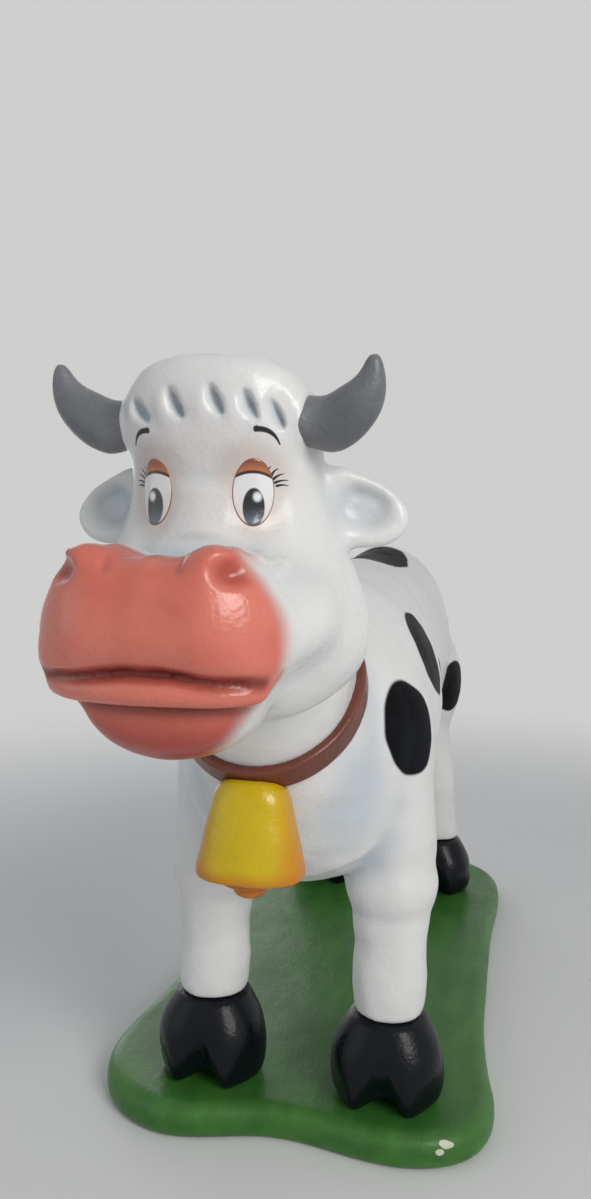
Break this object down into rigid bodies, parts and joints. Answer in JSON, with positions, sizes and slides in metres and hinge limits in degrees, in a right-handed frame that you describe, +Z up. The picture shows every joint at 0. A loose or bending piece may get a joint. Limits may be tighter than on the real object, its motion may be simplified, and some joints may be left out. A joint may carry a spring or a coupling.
{
  "type": "cow figurine",
  "caption": "Painted display cow on a wavy green base, with horns, a big pink muzzle, a collar and a bell, built from dowelled blocks on steel leg rods.",
  "frame": {"origin": "middle of the base's flat underside", "axes": "+Z up, the cow faces -Y, its left side is +X"},
  "size_m": [0.4058, 1.2006, 0.691],
  "materials": {
    "white_coat": "satin hand-painted hard coat, white with black patches and soft grey airbrushing",
    "pink_muzzle": "glossy salmon-pink paint, darker red in the creases",
    "pink_udder": "satin pink paint",
    "black_hoof": "glossy black paint over a rough coat",
    "grey_horn": "satin dark grey paint",
    "eye_paint": "glossy painted eye with dark pupil and brown lid",
    "brown_collar": "satin reddish-brown paint",
    "yellow_bell": "glossy golden yellow paint with orange edges",
    "orange_clapper": "glossy orange paint",
    "green_base": "satin green paint, worn at the edge",
    "steel": "plain zinc-coated steel",
    "dowel_wood": "plain turned wood"
  },
  "bodies": {
    "root": {"body": "white_coat", "head": "white_coat", "front_left_leg": "white_coat", "front_right_leg": "white_coat", "rear_left_leg": "white_coat", "rear_right_leg": "white_coat", "left_ear": "white_coat", "right_ear": "white_coat", "tail": "white_coat", "muzzle": "pink_muzzle", "lower_jaw": "pink_muzzle", "udder": "pink_udder", "front_left_hoof": "black_hoof", "front_right_hoof": "black_hoof", "rear_left_hoof": "black_hoof", "rear_right_hoof": "black_hoof", "tail_tuft": "black_hoof", "left_horn": "grey_horn", "right_horn": "grey_horn", "left_eye": "eye_paint", "right_eye": "eye_paint", "collar": "brown_collar", "bell": "yellow_bell", "bell_clapper": "orange_clapper", "base_plinth": "green_base", "leg_rods": "steel", "rod_washers": "steel", "rod_nuts": "steel", "neck_rod": "steel", "face_dowels": "dowel_wood", "horn_dowels": "dowel_wood", "ear_dowels": "dowel_wood", "tail_dowel": "dowel_wood"}
  },
  "joints": []
}
